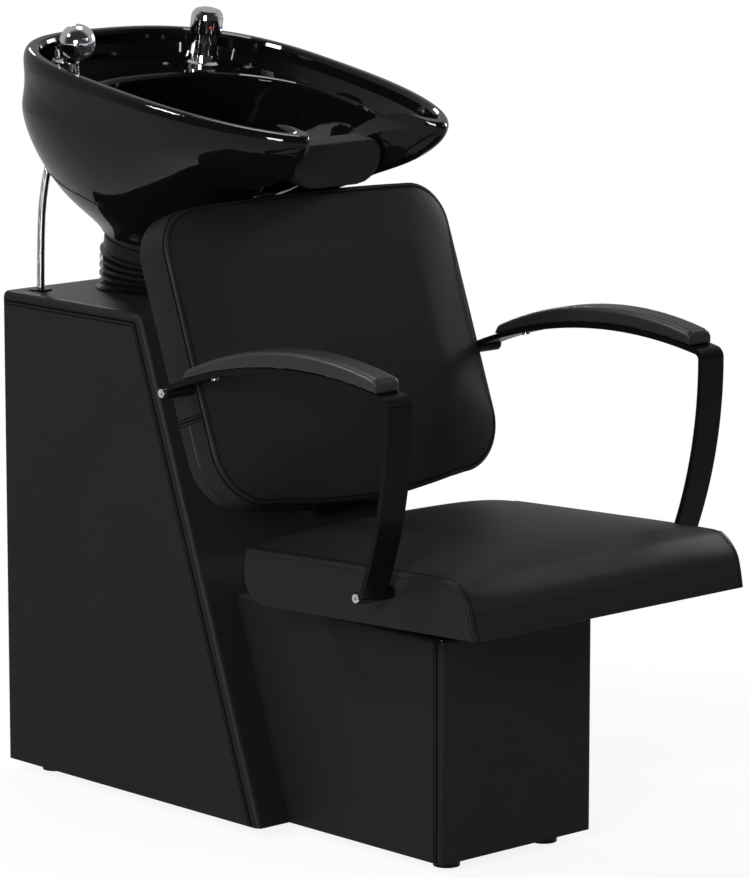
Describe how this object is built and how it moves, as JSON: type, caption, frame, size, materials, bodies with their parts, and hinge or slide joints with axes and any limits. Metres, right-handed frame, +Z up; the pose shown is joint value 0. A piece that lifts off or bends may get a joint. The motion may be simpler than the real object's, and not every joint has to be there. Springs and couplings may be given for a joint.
{
  "type": "salon backwash unit",
  "caption": "Black salon backwash unit: padded cabinet carrying a tilting glazed bowl with mixer and hand shower, and a fixed armchair on a pedestal in front.",
  "frame": {"origin": "middle of the footprint of the whole unit, on the floor", "axes": "Z up, the sitter faces -Y, X to the sitter's left"},
  "size_m": [0.588, 0.9953, 1.0191],
  "materials": {
    "leather": "black grained imitation leather, satin",
    "pad_leather": "black moulded skin, satin",
    "plywood": "raw plywood",
    "stained_plywood": "plywood stained black",
    "black_steel": "black powder coat, satin",
    "ceramic": "black glaze, high gloss",
    "neck_rubber": "matt soft rubber",
    "boot_rubber": "satin rubber",
    "chrome": "polished",
    "zinc": "zinc plated",
    "waste_plastic": "white pipe",
    "foot_plastic": "matt",
    "shower_plate": "matt grey",
    "mark_hot": "gloss",
    "mark_cold": "gloss"
  },
  "bodies": {
    "base": {"arm_bar_left": "black_steel", "arm_bar_right": "black_steel", "arm_bolts": "chrome", "arm_pad_left": "pad_leather", "arm_pad_right": "pad_leather", "arm_pad_screws": "zinc", "back_board": "plywood", "back_bracket": "black_steel", "back_bracket_bolts": "zinc", "back_cushion": "leather", "back_shell": "leather", "boot": "boot_rubber", "cabinet_bottom_board": "plywood", "cabinet_cover": "leather", "cabinet_front_board": "plywood", "cabinet_rear_rails": "plywood", "cabinet_side_left": "plywood", "cabinet_side_right": "plywood", "cabinet_top_board": "plywood", "feet": "foot_plastic", "hose_grommet": "boot_rubber", "hose_nut": "zinc", "joining_bolts": "zinc", "pedestal_back_board": "plywood", "pedestal_bottom_board": "plywood", "pedestal_cover": "leather", "pedestal_front_board": "plywood", "pedestal_side_left": "plywood", "pedestal_side_right": "plywood", "pedestal_top_board": "stained_plywood", "pin_clips": "zinc", "seat_board": "stained_plywood", "seat_bolts": "zinc", "seat_cleats": "plywood", "seat_cushion": "leather", "seat_rails": "stained_plywood", "shower_hose": "chrome", "stand_bolts": "zinc", "tilt_pins": "zinc", "tilt_stand": "black_steel"},
    "bowl": {"bowl": "ceramic", "neck_rest": "neck_rubber", "waste_body": "chrome", "waste_nut": "waste_plastic", "waste_tail": "waste_plastic", "waste_grid": "chrome", "bowl_carrier": "black_steel", "carrier_bolts": "zinc", "mixer_body": "chrome", "mixer_nut": "zinc", "mixer_tails": "zinc", "shower_holder": "chrome", "shower_holder_nut": "zinc"},
    "stem": {"mixer_stem": "zinc"},
    "knob": {"mixer_knob": "chrome", "mark_hot": "mark_hot", "mark_cold": "mark_cold"},
    "shower": {"shower_head": "chrome", "shower_plate": "shower_plate"}
  },
  "joints": [
    {"name": "bowl_tilt", "type": "hinge", "parent": "base", "child": "bowl", "pos_m": [0, 0.33966, 0.69021], "axis": [-1, 0, 0], "range_deg": [0, 15], "deforming": ["boot", "shower_hose"]},
    {"name": "mixer_lift", "type": "slide", "parent": "bowl", "child": "stem", "axis": [0, -0.165, 0.9863], "range_m": [0, 0.008]},
    {"name": "mixer_turn", "type": "hinge", "parent": "stem", "child": "knob", "pos_m": [0.12, 0.40079, 0.97927], "axis": [0, -0.165, 0.9863], "range_deg": [-60, 60]},
    {"name": "shower_lift", "type": "slide", "parent": "bowl", "child": "shower", "axis": [0, -0.5225, 0.8526], "range_m": [0, 0.15]}
  ]
}
